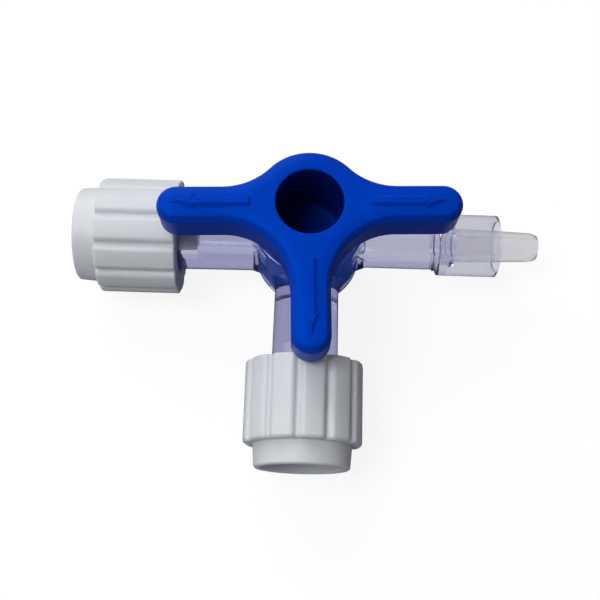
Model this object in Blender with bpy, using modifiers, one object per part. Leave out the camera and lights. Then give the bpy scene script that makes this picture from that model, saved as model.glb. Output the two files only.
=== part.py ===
"""Three way stopcock for an infusion line.

A clear moulded body carries three ports round an upright barrel. A blue handle turns a hollow plug in
the barrel, and the passages in the plug join the ports. Two ports are female tapers closed by ribbed
screw caps, the third is a male taper inside a loose turning collar.

Metres, +Z up. The origin is the centre of the plug's flat foot, level with the foot of the barrel.
+X runs out through the male port, -X and -Y through the two capped ports.
"""
import math

import bmesh
import bpy
from mathutils import Matrix, Vector

MM = 0.001

# How finely round forms are divided
BARREL_STEPS = 48
TUBE_STEPS = 28
PASSAGE_STEPS = 16
FILLET_STEPS = 3
HANDLE_ARC_STEPS = 8

# Cutters are rolled a little, so that their edges never fall on the edges of what they cut
CUTTER_ROLL = math.radians(2.9)

# Clearances between pieces
turning_gap = 0.10 * MM
seat_gap = 0.30 * MM

# Points closer than this count as being at one height
same_height = 0.01 * MM

# Barrel of the body
port_height = 5.95 * MM
barrel_radius = 7.25 * MM
barrel_height = 13.35 * MM
barrel_bore_radius = 5.85 * MM
barrel_edge = 0.35 * MM

# Snap bead that keeps the plug in the barrel
bead_height = 0.9 * MM
bead_width = 0.8 * MM
bead_proud = 0.25 * MM

# Female ports, the two capped arms of the body
arm_radius = 4.35 * MM
arm_root_radius = 4.2 * MM
arm_shoulder = 18.6 * MM
shoulder_edge = 0.25 * MM
shoulder_slope = 0.5 * MM
neck_radius = 3.36 * MM
mouth_edge = 0.3 * MM
female_mouth = 24.6 * MM
lug_radius = 3.9 * MM
lug_width = 5.2 * MM
lug_thickness = 1.1 * MM
socket_mouth_radius = 2.145 * MM
socket_depth = 9.8 * MM
lumen_radius = 1.2 * MM

# Luer taper: the diameter grows 6 percent of the length
taper_slope = 0.03

# Male port
male_arm_radius = 3.42 * MM
male_arm_end = 16.75 * MM
male_passage_radius = 1.6 * MM
male_passage_cone = 1.0 * MM
stop_ring_radius = 3.6 * MM
stop_ring_width = 0.5 * MM
spindle_radius = 2.75 * MM
snap_ring_radius = 3.0 * MM
snap_ring_width = 0.7 * MM
male_tip = 31.1 * MM
male_tip_radius = 1.975 * MM
tip_draw = 0.6 * MM
tip_lead = 1.4 * MM

# Turning collar round the male port
collar_radius = 4.18 * MM
collar_wall = 0.75 * MM
collar_web = 1.2 * MM
collar_length = 8.05 * MM
collar_edge = 0.25 * MM

# Handle
handle_top = 20.25 * MM
handle_thickness = 5.6 * MM
hub_radius = 6.75 * MM
arm_reach = 18.9 * MM
arm_half_width = 2.27 * MM
top_round = 0.75 * MM
foot_round = 0.25 * MM
hub_hole_radius = 4.2 * MM
hub_hole_edge = 0.2 * MM
hub_hole_floor = 9.2 * MM
hub_hole_floor_round = 0.7 * MM
shoulder_radius = 6.6 * MM
passage_radius = 1.2 * MM
handle_turn = math.radians(1.7)

# Raised arrows on the handle
arrow_start = 7.3 * MM
arrow_head = 14.0 * MM
arrow_tip = 16.8 * MM
arrow_shaft_half = 0.55 * MM
arrow_head_half = 0.95 * MM
arrow_proud = 0.35 * MM

# Screw caps
cap_start = 17.3 * MM
cap_rib_end = 27.9 * MM
cap_end = 30.9 * MM
cap_radius = 7.7 * MM
cap_groove = 0.55 * MM
cap_groove_foot = 6.7 * MM
cap_lobe_breadth = 3.2
cap_lobes = 12
cap_lobe_steps = 6
cap_outer_round = 0.5 * MM
cap_inner_round = 0.25 * MM
ring_radius = 6.2 * MM
ring_base_radius = 6.4 * MM
ring_round = 0.35 * MM
recess_radius = 5.3 * MM
recess_depth = 1.6 * MM
cap_mouth_radius = 4.75 * MM
left_cap_turn = math.radians(3.5)
front_cap_turn = math.radians(7.7)

BLUE = (0.0, 0.045, 0.48, 1.0)
VIOLET_CLEAR = (0.72, 0.70, 0.84, 1.0)
CAP_WHITE = (0.68, 0.71, 0.73, 1.0)


def clear_scene():
    for old in list(bpy.data.objects):
        bpy.data.objects.remove(old, do_unlink=True)


def new_collection(name):
    made = bpy.data.collections.new(name)
    bpy.context.scene.collection.children.link(made)
    return made


def principled(name, colour, roughness, transmission=0.0):
    made = bpy.data.materials.new(name)
    made.use_nodes = True
    shader = made.node_tree.nodes["Principled BSDF"]
    shader.inputs["Base Color"].default_value = colour
    shader.inputs["Roughness"].default_value = roughness
    shader.inputs["Metallic"].default_value = 0.0
    shader.inputs["Transmission Weight"].default_value = transmission
    made.diffuse_color = colour
    return made


def link(name, mesh, home, location=(0, 0, 0), turn=None):
    """Puts a mesh in a collection at its place."""
    made = bpy.data.objects.new(name, mesh)
    home.objects.link(made)
    made.matrix_world = Matrix.Translation(location) @ (turn or Matrix.Identity(4))
    return made


def as_cutter(obj):
    obj.hide_render = True
    obj.display_type = "WIRE"
    return obj


def evaluated_mesh(obj, name):
    """The mesh of an object with its modifiers applied; the object itself goes."""
    bpy.context.view_layer.update()
    shown = obj.evaluated_get(bpy.context.evaluated_depsgraph_get())
    mesh = bpy.data.meshes.new_from_object(shown)
    mesh.name = name
    bpy.data.objects.remove(obj, do_unlink=True)
    return mesh


def turned_mesh(name, profile, steps):
    """Turns a profile of (radius, height) points round Z; it runs down the outer side."""
    mesh = bpy.data.meshes.new(name)
    bm = bmesh.new()
    is_loop = profile[0] == profile[-1]
    places = profile[:-1] if is_loop else profile
    points = [bm.verts.new((radius, 0.0, height)) for radius, height in places]
    for first, second in zip(points, points[1:] + points[:1] if is_loop else points[1:]):
        bm.edges.new((first, second))
    bm.to_mesh(mesh)
    bm.free()
    blank = link(name, mesh, bpy.context.scene.collection)
    screw = blank.modifiers.new("turn", "SCREW")
    screw.axis = "Z"
    screw.steps = steps
    screw.render_steps = steps
    screw.use_merge_vertices = True
    screw.merge_threshold = 0.000001
    return evaluated_mesh(blank, name)


def fillet(centre, radius, start, end, steps=FILLET_STEPS):
    """Points on an arc from one angle to another, in degrees, counted from the radial direction."""
    points = []
    for step in range(steps + 1):
        angle = math.radians(start + (end - start) * step / steps)
        points.append((centre[0] + radius * math.cos(angle), centre[1] + radius * math.sin(angle)))
    return points


def along(direction, roll=0.0):
    """The turn that lays a profile made up the Z axis along a port."""
    lay = Vector(direction).to_track_quat("Z", "Y").to_matrix().to_4x4()
    return lay @ Matrix.Rotation(roll, 4, "Z")


def cut(target, tool, operation="DIFFERENCE"):
    change = target.modifiers.new(operation.lower(), "BOOLEAN")
    change.operation = operation
    change.solver = "EXACT"
    change.object = as_cutter(tool)


def smooth(mesh, angle=35.0):
    mesh.shade_smooth()
    mesh.set_sharp_from_angle(angle=math.radians(angle))


# Body


def barrel_profile():
    return (
        [(0.0, barrel_height)]
        + fillet((barrel_radius - barrel_edge, barrel_height - barrel_edge), barrel_edge, 90, 0)
        + fillet((barrel_radius - barrel_edge, barrel_edge), barrel_edge, 0, -90)
        + [(0.0, 0.0)]
    )


def bore_profile():
    """The barrel's bore, with the groove that the plug's snap bead turns in."""
    over = barrel_edge
    groove_radius = barrel_bore_radius + bead_proud
    groove_top = bead_height + bead_width + seat_gap
    groove_foot = bead_height - seat_gap
    return [
        (0.0, barrel_height + over),
        (barrel_bore_radius, barrel_height + over),
        (barrel_bore_radius, groove_top + bead_proud),
        (groove_radius, groove_top),
        (groove_radius, groove_foot),
        (barrel_bore_radius, groove_foot - bead_proud),
        (barrel_bore_radius, -over),
        (0.0, -over),
    ]


def female_profile():
    """A capped arm, from inside the barrel wall to the mouth of its taper."""
    return [
        (0.0, female_mouth),
        (neck_radius - mouth_edge, female_mouth),
        (neck_radius, female_mouth - mouth_edge),
        (neck_radius, arm_shoulder + shoulder_slope),
        (arm_radius - shoulder_edge, arm_shoulder),
        (arm_radius, arm_shoulder - shoulder_edge),
        (arm_root_radius, arm_root()),
        (0.0, arm_root()),
    ]


def arm_root():
    """Arms start inside the barrel, past its bore."""
    return barrel_bore_radius / 2


def socket_foot_radius():
    return socket_mouth_radius - taper_slope * socket_depth


def female_lumen_profile():
    over = seat_gap
    return [
        (0.0, female_mouth + over),
        (socket_mouth_radius + taper_slope * over, female_mouth + over),
        (socket_foot_radius(), female_mouth - socket_depth),
        (lumen_radius, female_mouth - socket_depth),
        (lumen_radius, 0.0),
        (0.0, 0.0),
    ]


def snap_ring_foot():
    return collar_foot() + collar_web + seat_gap


def collar_foot():
    return male_arm_end + stop_ring_width + seat_gap


def male_root_radius():
    """The taper's radius where it leaves the snap ring."""
    return male_tip_radius + taper_slope * (male_tip - snap_ring_foot() - snap_ring_width)


def tip_curve():
    """The tip's long soft edge, a quarter of an ellipse from its face to its side."""
    round_tip = fillet((0.0, 0.0), 1.0, 90, 0)
    side_start = male_tip_radius - tip_draw
    return [(side_start + out * tip_draw, male_tip - (1.0 - up) * tip_lead) for out, up in round_tip]


def male_profile():
    stop_foot = male_arm_end
    ring_top = snap_ring_foot() + snap_ring_width
    return (
        [(0.0, male_tip)]
        + tip_curve()
        + [
            (male_root_radius(), ring_top),
            (spindle_radius, ring_top),
            (snap_ring_radius, snap_ring_foot() + snap_ring_width / 2),
            (snap_ring_radius, snap_ring_foot()),
            (spindle_radius, snap_ring_foot()),
            (spindle_radius, stop_foot + stop_ring_width),
            (stop_ring_radius, stop_foot + stop_ring_width),
            (stop_ring_radius, stop_foot + (stop_ring_radius - male_arm_radius)),
            (male_arm_radius, stop_foot),
            (male_arm_radius, arm_root()),
            (0.0, arm_root()),
        ]
    )


def male_lumen_profile():
    """Wide as far as the foot of the taper, then as narrow as the plug's own passages."""
    over = seat_gap
    wide_end = snap_ring_foot() + snap_ring_width
    start = arm_root() + seat_gap
    return [
        (0.0, male_tip + over),
        (lumen_radius, male_tip + over),
        (lumen_radius, wide_end + male_passage_cone),
        (male_passage_radius, wide_end),
        (male_passage_radius, start),
        (0.0, start),
    ]


def lug_mesh(name):
    """Two ears that the cap's thread grips: a disc with its sides cut flat."""
    bm = bmesh.new()
    bmesh.ops.create_cone(
        bm,
        cap_ends=True,
        segments=TUBE_STEPS,
        radius1=lug_radius,
        radius2=lug_radius,
        depth=lug_thickness,
    )
    for side in (1, -1):
        found = bmesh.ops.bisect_plane(
            bm,
            geom=list(bm.verts) + list(bm.edges) + list(bm.faces),
            plane_co=(0.0, side * lug_width / 2, 0.0),
            plane_no=(0.0, side, 0.0),
            clear_outer=True,
        )
        rim = [item for item in found["geom_cut"] if isinstance(item, bmesh.types.BMEdge)]
        bmesh.ops.contextual_create(bm, geom=rim)
    bmesh.ops.recalc_face_normals(bm, faces=bm.faces)
    mesh = bpy.data.meshes.new(name)
    bm.to_mesh(mesh)
    bm.free()
    return mesh


def make_body(home, tools):
    axis_point = Vector((0.0, 0.0, port_height))
    body = link("body", turned_mesh("body", barrel_profile(), BARREL_STEPS), home)
    female = turned_mesh("female_arm", female_profile(), TUBE_STEPS)
    female_lumen = turned_mesh("female_lumen", female_lumen_profile(), PASSAGE_STEPS)
    lugs = lug_mesh("lugs")
    for side, direction in (("left", (-1, 0, 0)), ("front", (0, -1, 0))):
        lug_at = axis_point + Vector(direction) * (female_mouth - lug_thickness / 2 - seat_gap)
        cut(body, link("arm_" + side, female, tools, axis_point, along(direction)), "UNION")
        cut(body, link("lugs_" + side, lugs, tools, lug_at, along(direction)), "UNION")
    male = turned_mesh("male_arm", male_profile(), TUBE_STEPS)
    cut(body, link("arm_male", male, tools, axis_point, along((1, 0, 0))), "UNION")
    for side, direction in (("left", (-1, 0, 0)), ("front", (0, -1, 0))):
        lay = along(direction, CUTTER_ROLL)
        cut(body, link("lumen_" + side, female_lumen, tools, axis_point, lay))
    male_lumen = turned_mesh("male_lumen", male_lumen_profile(), PASSAGE_STEPS)
    cut(body, link("lumen_male", male_lumen, tools, axis_point, along((1, 0, 0), CUTTER_ROLL)))
    bore = turned_mesh("bore", bore_profile(), BARREL_STEPS)
    cut(body, link("bore", bore, tools, turn=Matrix.Rotation(CUTTER_ROLL / 2, 4, "Z")))
    mesh = evaluated_mesh(body, "body")
    mesh.materials.append(principled("clear violet plastic", VIOLET_CLEAR, 0.05, 0.9))
    smooth(mesh)
    return link("body", mesh, home)


# Collar


def make_collar(home):
    """Open towards the tip, with a web that runs between the stop ring and the snap ring."""
    front = collar_length
    hole = spindle_radius + turning_gap
    inner = collar_radius - collar_wall
    profile = [
        (inner, front),
        (collar_radius - collar_edge, front),
        (collar_radius, front - collar_edge),
        (collar_radius, collar_edge),
        (collar_radius - collar_edge, 0.0),
        (hole, 0.0),
        (hole, collar_web),
        (inner, collar_web),
        (inner, front),
    ]
    mesh = turned_mesh("luer_collar", profile, TUBE_STEPS)
    mesh.materials.append(principled("clear collar plastic", VIOLET_CLEAR, 0.05, 0.9))
    smooth(mesh)
    mesh.transform(along((1, 0, 0)))
    return link("luer_collar", mesh, home, (collar_foot(), 0.0, port_height))


# Handle


def handle_outline():
    """Counter-clockwise outline: a round hub that flows into three arms with round ends.

    One arc runs from each arm's side to the hub and on to the next arm, tangent to all three.
    """
    flow = (hub_radius - math.sqrt(2) * arm_half_width) / (math.sqrt(2) - 1)
    corner = arm_half_width + flow
    tip_centre = arm_reach - arm_half_width
    steps = HANDLE_ARC_STEPS

    def arc(cx, cy, radius, start, end, count):
        for step in range(count):
            angle = math.radians(start + (end - start) * step / count)
            yield Vector((cx + radius * math.cos(angle), cy + radius * math.sin(angle)))

    points = []
    # round the right arm's end, then its back edge into the hub
    points += arc(tip_centre, 0.0, arm_half_width, -90, 90, 2 * steps)
    points += arc(corner, corner, flow, -90, -135, steps)
    points += arc(0.0, 0.0, hub_radius, 45, 135, 2 * steps)
    points += arc(-corner, corner, flow, -45, -90, steps)
    # round the left arm's end and on to the front arm
    points += arc(-tip_centre, 0.0, arm_half_width, 90, 270, 2 * steps)
    points += arc(-corner, -corner, flow, 90, 0, 2 * steps)
    points += arc(0.0, -tip_centre, arm_half_width, 180, 360, 2 * steps)
    points += arc(corner, -corner, flow, 180, 90, 2 * steps)
    return points


def arrow_outline():
    """An arrow that points along +X."""
    return [
        Vector((arrow_start, -arrow_shaft_half)),
        Vector((arrow_head, -arrow_shaft_half)),
        Vector((arrow_head, -arrow_head_half)),
        Vector((arrow_tip, 0.0)),
        Vector((arrow_head, arrow_head_half)),
        Vector((arrow_head, arrow_shaft_half)),
        Vector((arrow_start, arrow_shaft_half)),
    ]


def slab_mesh(name, outline, foot, top):
    """A flat outline raised from one height to another."""
    bm = bmesh.new()
    ring = [bm.verts.new((point.x, point.y, foot)) for point in outline]
    face = bm.faces.new(ring)
    raised = bmesh.ops.extrude_face_region(bm, geom=[face])
    up = [item for item in raised["geom"] if isinstance(item, bmesh.types.BMVert)]
    bmesh.ops.translate(bm, verts=up, vec=(0.0, 0.0, top - foot))
    bmesh.ops.recalc_face_normals(bm, faces=bm.faces)
    mesh = bpy.data.meshes.new(name)
    bm.to_mesh(mesh)
    bm.free()
    return mesh


def round_rim(mesh, height, radius, segments):
    """Rounds the edges of a slab that lie all along one of its flat faces."""
    bm = bmesh.new()
    bm.from_mesh(mesh)
    rim = [edge for edge in bm.edges if all(abs(v.co.z - height) < same_height for v in edge.verts)]
    bmesh.ops.bevel(
        bm,
        geom=rim,
        offset=radius,
        offset_type="OFFSET",
        segments=segments,
        profile=0.5,
        affect="EDGES",
        clamp_overlap=True,
    )
    bm.to_mesh(mesh)
    bm.free()


def plug_profile():
    """Hollow plug under the handle: a shoulder over the barrel's rim and a snap bead near its foot."""
    radius = barrel_bore_radius - turning_gap
    shoulder_foot = barrel_height + seat_gap
    bead = bead_proud - turning_gap
    into_handle = handle_top - handle_thickness / 2
    return [
        (0.0, into_handle),
        (barrel_bore_radius, into_handle),
        (shoulder_radius, handle_top - handle_thickness),
        (shoulder_radius, shoulder_foot),
        (radius, shoulder_foot),
        (radius, bead_height + bead_width + bead),
        (radius + bead, bead_height + bead_width),
        (radius + bead, bead_height),
        (radius, bead_height - bead),
        (radius, barrel_edge),
        (radius - barrel_edge, 0.0),
        (0.0, 0.0),
    ]


def hub_hole_profile():
    over = hub_hole_edge
    floor_round = hub_hole_floor_round
    floor_centre = (hub_hole_radius - floor_round, hub_hole_floor + floor_round)
    return (
        [(0.0, handle_top + over), (hub_hole_radius + 2 * over, handle_top + over)]
        + [(hub_hole_radius, handle_top - over)]
        + fillet(floor_centre, floor_round, 0, -90)
        + [(0.0, hub_hole_floor)]
    )


def passage_profile(start):
    """A passage out through the plug's wall, with a margin past it."""
    reach = barrel_radius
    return [(0.0, reach), (passage_radius, reach), (passage_radius, start), (0.0, start)]


def make_handle(home, tools):
    slab = slab_mesh("handle", handle_outline(), handle_top - handle_thickness, handle_top)
    round_rim(slab, handle_top, top_round, FILLET_STEPS)
    round_rim(slab, handle_top - handle_thickness, foot_round, 2)
    handle = link("handle", slab, home)
    cut(handle, link("plug", turned_mesh("plug", plug_profile(), BARREL_STEPS), tools), "UNION")
    arrow = slab_mesh("arrow", arrow_outline(), handle_top - arrow_proud, handle_top + arrow_proud)
    for side, degrees in (("right", 0), ("left", 180), ("front", -90)):
        turn = Matrix.Rotation(math.radians(degrees), 4, "Z")
        cut(handle, link("arrow_" + side, arrow, tools, turn=turn), "UNION")
    cut(handle, link("hub_hole", turned_mesh("hub_hole", hub_hole_profile(), BARREL_STEPS), tools))
    through = turned_mesh("passage", passage_profile(-barrel_radius), PASSAGE_STEPS)
    branch = turned_mesh("passage_branch", passage_profile(0.0), PASSAGE_STEPS)
    axis_point = Vector((0.0, 0.0, port_height))
    cut(handle, link("passage_through", through, tools, axis_point, along((1, 0, 0), CUTTER_ROLL)))
    branch_lay = along((0, -1, 0), 2 * CUTTER_ROLL)
    cut(handle, link("passage_front", branch, tools, axis_point, branch_lay))
    mesh = evaluated_mesh(handle, "handle")
    mesh.materials.append(principled("blue plastic", BLUE, 0.35))
    smooth(mesh)
    return link("handle", mesh, home, turn=Matrix.Rotation(handle_turn, 4, "Z"))


# Caps


def lobe_depth(turn):
    """How deep the grip is cut at an angle: broad round lobes and narrow grooves."""
    phase = (turn * cap_lobes / (2 * math.pi)) % 1.0
    across = abs(2.0 * phase - 1.0)
    return cap_groove * across ** cap_lobe_breadth


def cap_shell_profile():
    """The cap before its grip is cut, from its outer end down to the mouth, in and out again."""
    cone_tip_at = female_mouth - socket_depth + 2 * seat_gap
    stop = female_mouth + seat_gap
    cone_root = socket_mouth_radius - seat_gap / 2
    cone_tip = cone_root - taper_slope * (stop - cone_tip_at)
    rib_side = cap_radius - cap_outer_round
    mouth_side = cap_radius - cap_inner_round
    return (
        [(0.0, cap_end - recess_depth), (recess_radius - ring_round, cap_end - recess_depth)]
        + [(recess_radius, cap_end)]
        + fillet((ring_radius - ring_round, cap_end - ring_round), ring_round, 90, 0, 1)
        + [(ring_base_radius, cap_rib_end)]
        + fillet((rib_side, cap_rib_end - cap_outer_round), cap_outer_round, 90, 0)
        + fillet((mouth_side, cap_start + cap_inner_round), cap_inner_round, 0, -90, 1)
        + [
            (cap_mouth_radius + cap_inner_round, cap_start),
            (cap_mouth_radius, cap_start + cap_inner_round),
            (cap_mouth_radius, stop),
            (cone_root, stop),
            (cone_tip, cone_tip_at),
            (0.0, cone_tip_at),
        ]
    )


def cap_mesh(name):
    """Turned shell whose outer side is drawn in to make the grip's grooves."""
    steps = cap_lobes * cap_lobe_steps
    mesh = turned_mesh(name, cap_shell_profile(), steps)
    inner = cap_groove_foot
    for vert in mesh.vertices:
        radius = math.hypot(vert.co.x, vert.co.y)
        if radius < inner or vert.co.z > cap_rib_end + seat_gap:
            continue
        share = min(1.0, (radius - inner) / (cap_radius - cap_outer_round - inner))
        scale = 1.0 - share * lobe_depth(math.atan2(vert.co.y, vert.co.x)) / radius
        vert.co.x *= scale
        vert.co.y *= scale
    return mesh


def make_cap(name, direction, turn, home):
    mesh = cap_mesh(name)
    mesh.materials.append(principled("white plastic " + name, CAP_WHITE, 0.5))
    smooth(mesh, 50.0)
    mesh.transform(along(direction) @ Matrix.Rotation(turn, 4, "Z"))
    mesh.transform(Matrix.Translation(Vector(direction) * -cap_start))
    place = Vector(direction) * cap_start + Vector((0.0, 0.0, port_height))
    return link(name, mesh, home, place)


def main():
    clear_scene()
    home = new_collection("three_way_stopcock")
    tools = new_collection("cutters")
    make_body(home, tools)
    make_handle(home, tools)
    make_collar(home)
    make_cap("cap_left", (-1, 0, 0), left_cap_turn, home)
    make_cap("cap_front", (0, -1, 0), front_cap_turn, home)


main()
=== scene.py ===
# %% [markdown]
# # A three way stopcock, dressed for its portrait
#
# A three way stopcock is the little valve of an infusion line. A clear moulded body has three ports round an
# upright barrel, a blue handle turns a hollow plug in it, and two white screw caps close the side ports.
# The solid model of the part is already made and fixed. This lesson builds a finer skin over each of its
# pieces, gives every piece its plastic, and lights it as the photograph does.

# %% Load the fixed model
import math

import bmesh
import bpy
from mathutils import Matrix, Vector


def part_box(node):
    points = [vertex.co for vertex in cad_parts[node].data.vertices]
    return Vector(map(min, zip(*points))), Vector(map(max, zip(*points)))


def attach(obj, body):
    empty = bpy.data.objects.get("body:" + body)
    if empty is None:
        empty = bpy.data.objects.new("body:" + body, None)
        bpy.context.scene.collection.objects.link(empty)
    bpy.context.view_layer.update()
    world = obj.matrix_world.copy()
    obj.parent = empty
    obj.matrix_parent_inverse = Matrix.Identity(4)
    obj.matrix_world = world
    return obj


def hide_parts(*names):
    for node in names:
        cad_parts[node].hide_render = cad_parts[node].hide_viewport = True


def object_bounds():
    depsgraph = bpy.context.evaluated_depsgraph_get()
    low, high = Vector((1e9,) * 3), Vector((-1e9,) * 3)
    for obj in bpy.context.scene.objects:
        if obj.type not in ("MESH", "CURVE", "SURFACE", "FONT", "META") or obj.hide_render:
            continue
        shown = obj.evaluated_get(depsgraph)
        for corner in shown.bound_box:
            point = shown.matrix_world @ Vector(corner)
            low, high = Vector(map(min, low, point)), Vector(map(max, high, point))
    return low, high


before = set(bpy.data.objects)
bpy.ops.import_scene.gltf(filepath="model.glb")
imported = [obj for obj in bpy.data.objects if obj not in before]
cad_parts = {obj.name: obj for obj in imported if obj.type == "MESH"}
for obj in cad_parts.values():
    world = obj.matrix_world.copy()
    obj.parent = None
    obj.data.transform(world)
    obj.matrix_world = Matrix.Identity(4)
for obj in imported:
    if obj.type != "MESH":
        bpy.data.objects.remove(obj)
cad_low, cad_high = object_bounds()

MM = 0.001
UP = Vector((0.0, 0.0, 1.0))
print("pieces of the solid model:", sorted(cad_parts))
print("its size in mm:", [round(side / MM, 1) for side in cad_high - cad_low])

# %% [markdown]
# The ports lie on one level, above the foot of the barrel. That level is the middle of the collar, so it is
# measured there and not written down a second time. The same goes for the top of the handle, and for the
# floor, which is as low as the caps reach.

# %% Where things are
collar_low, collar_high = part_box("luer_collar")
port_level = (collar_low.z + collar_high.z) / 2
arrows_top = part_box("handle")[1].z
floor_level = min(cad_low.z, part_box("cap_left")[0].z)
print("ports at", round(port_level / MM, 2), "mm, floor at", round(floor_level / MM, 2), "mm")

# %% [markdown]
# ## The camera
#
# The photograph looks down on the part from about twelve centimetres, a little from the front, and the whole
# part is turned in the picture by not quite two degrees. The camera is set from that: its height above the
# ports, its distance to the front, its tilt and its roll. A camera looks along its own -Z, so a tilt about
# its X axis lifts its gaze from straight down towards the back.

# %% Camera
camera_height = 121.36 * MM
camera_forward = 44.29 * MM
camera_aside = -0.86 * MM
camera_tilt = math.radians(16.453)
camera_roll = math.radians(1.756)
picture_focal = 944.2
picture_width = 600.0

lens = bpy.data.cameras.new("camera")
lens.sensor_width = 36.0
lens.lens = picture_focal / picture_width * lens.sensor_width
lens.clip_start = 5.0 * MM
camera = bpy.data.objects.new("camera", lens)
bpy.context.scene.collection.objects.link(camera)
camera.matrix_world = (
    Matrix.Translation((camera_aside, -camera_forward, camera_height + port_level))
    @ Matrix.Rotation(camera_tilt, 4, "X")
    @ Matrix.Rotation(camera_roll, 4, "Z")
)
bpy.context.scene.camera = camera
bpy.context.scene.view_settings.view_transform = "Standard"
print("lens", round(lens.lens, 1), "mm")

# %% [markdown]
# ## Nets of nodes
#
# Every finish below is a small net of nodes. Written out in full, such a net hides what it does behind rows
# of sockets, so two helpers keep it short: one makes an empty material with its output, and one adds a node
# and sets its values in the same line.


# %% Helpers for node materials
def new_material(name):
    """An empty node material with its output, ready for shaders."""
    material = bpy.data.materials.new(name)
    material.use_nodes = True
    nodes = material.node_tree.nodes
    nodes.clear()
    output = nodes.new("ShaderNodeOutputMaterial")
    output.location = (600, 0)
    return material, nodes, material.node_tree.links, output


def add(nodes, kind, place, **settings):
    """Adds a node. Settings name its properties, or its input sockets where it has no such property."""
    node = nodes.new(kind)
    node.location = place
    for key, value in settings.items():
        if hasattr(node, key):
            setattr(node, key, value)
        else:
            node.inputs[key.replace("_", " ")].default_value = value
    return node


print("helpers for node materials are ready")

# %% [markdown]
# ## White paper
#
# The picture's ground is white. Paper as white as that would also throw much light back at the part, so the
# floor answers each kind of ray in its own way. A ray straight from the camera sees mostly an even glow, and
# one that came through clear plastic sees a little less of it. The rest is matte paper, which takes the
# shadow. It is darker for the light that it sends back to the part, and darkest as a mirror image in gloss.

# %% Paper
glow_seen = 0.84
glow_through_plastic = 0.64
glow_strength = 1.05
paper_tone = (0.80, 0.80, 0.81, 1.0)
paper_tone_for_bounces = (0.42, 0.41, 0.44, 1.0)
paper_tone_in_gloss = (0.14, 0.13, 0.17, 1.0)

paper, nodes, links, output = new_material("white paper")
path = add(nodes, "ShaderNodeLightPath", (-800, 200))
through = add(nodes, "ShaderNodeMath", (-400, 0), operation="MULTIPLY")
through.inputs[1].default_value = glow_through_plastic
links.new(path.outputs["Is Transmission Ray"], through.inputs[0])
straight = add(nodes, "ShaderNodeMath", (-400, 200), operation="MULTIPLY")
straight.inputs[1].default_value = glow_seen
links.new(path.outputs["Is Camera Ray"], straight.inputs[0])
share = add(nodes, "ShaderNodeMath", (-200, 200), operation="MAXIMUM")
links.new(straight.outputs[0], share.inputs[0])
links.new(through.outputs[0], share.inputs[1])

tones = add(nodes, "ShaderNodeMix", (-400, 350), data_type="RGBA")
tones.inputs[6].default_value = paper_tone
tones.inputs[7].default_value = paper_tone_for_bounces
links.new(path.outputs["Is Diffuse Ray"], tones.inputs[0])
mirrored = add(nodes, "ShaderNodeMix", (-200, 350), data_type="RGBA")
mirrored.inputs[7].default_value = paper_tone_in_gloss
links.new(path.outputs["Is Glossy Ray"], mirrored.inputs[0])
links.new(tones.outputs[2], mirrored.inputs[6])

matte = add(nodes, "ShaderNodeBsdfDiffuse", (-200, 50))
links.new(mirrored.outputs[2], matte.inputs["Color"])
glow = add(nodes, "ShaderNodeEmission", (-200, -100), Strength=glow_strength)
choose = add(nodes, "ShaderNodeMixShader", (250, 50))
links.new(share.outputs[0], choose.inputs["Fac"])
links.new(matte.outputs[0], choose.inputs[1])
links.new(glow.outputs[0], choose.inputs[2])
links.new(choose.outputs[0], output.inputs["Surface"])
print("made", paper.name)

# %% [markdown]
# The floor itself is one wide face, a hair below the caps.

# %% Floor
floor_half = 1.5
floor_gap = 0.02 * MM

sheet = bmesh.new()
bmesh.ops.create_grid(sheet, x_segments=1, y_segments=1, size=floor_half)
bmesh.ops.translate(sheet, verts=sheet.verts, vec=UP * (floor_level - floor_gap))
floor_mesh = bpy.data.meshes.new("floor")
sheet.to_mesh(floor_mesh)
sheet.free()
floor_mesh.materials.append(paper)
floor = bpy.data.objects.new("floor", floor_mesh)
bpy.context.scene.collection.objects.link(floor)
print("the floor is", 2 * floor_half, "m wide")

# %% [markdown]
# ## The air
#
# Behind the part the camera sees plain white, and clear plastic shows a weak share of it. For everything else
# the air is a dim grey room, which is a little brighter towards the back, as with a window there. A direction
# has its Y between -1 in front and 1 at the back, so Y can be mapped straight to the strength of the light.

# %% World
air_through_plastic = 0.22
air_in_front = 0.07
air_at_the_back = 0.34

world = bpy.data.worlds.new("studio")
bpy.context.scene.world = world
world.use_nodes = True
sky_nodes, sky_links = world.node_tree.nodes, world.node_tree.links
sky_nodes.clear()
sky_out = sky_nodes.new("ShaderNodeOutputWorld")
sky_path = add(sky_nodes, "ShaderNodeLightPath", (-400, 0))
sky_through = add(sky_nodes, "ShaderNodeMath", (-200, -100), operation="MULTIPLY")
sky_through.inputs[1].default_value = air_through_plastic
sky_links.new(sky_path.outputs["Is Transmission Ray"], sky_through.inputs[0])
sky_seen = add(sky_nodes, "ShaderNodeMath", (0, 0), operation="MAXIMUM")
sky_links.new(sky_path.outputs["Is Camera Ray"], sky_seen.inputs[0])
sky_links.new(sky_through.outputs[0], sky_seen.inputs[1])

heading = add(sky_nodes, "ShaderNodeTexCoord", (-800, 300))
heading_split = add(sky_nodes, "ShaderNodeSeparateXYZ", (-600, 300))
sky_links.new(heading.outputs["Generated"], heading_split.inputs[0])
level = add(sky_nodes, "ShaderNodeMapRange", (-400, 300))
level.inputs["From Min"].default_value = -1.0
level.inputs["From Max"].default_value = 1.0
level.inputs["To Min"].default_value = air_in_front
level.inputs["To Max"].default_value = air_at_the_back
sky_links.new(heading_split.outputs["Y"], level.inputs["Value"])

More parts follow.
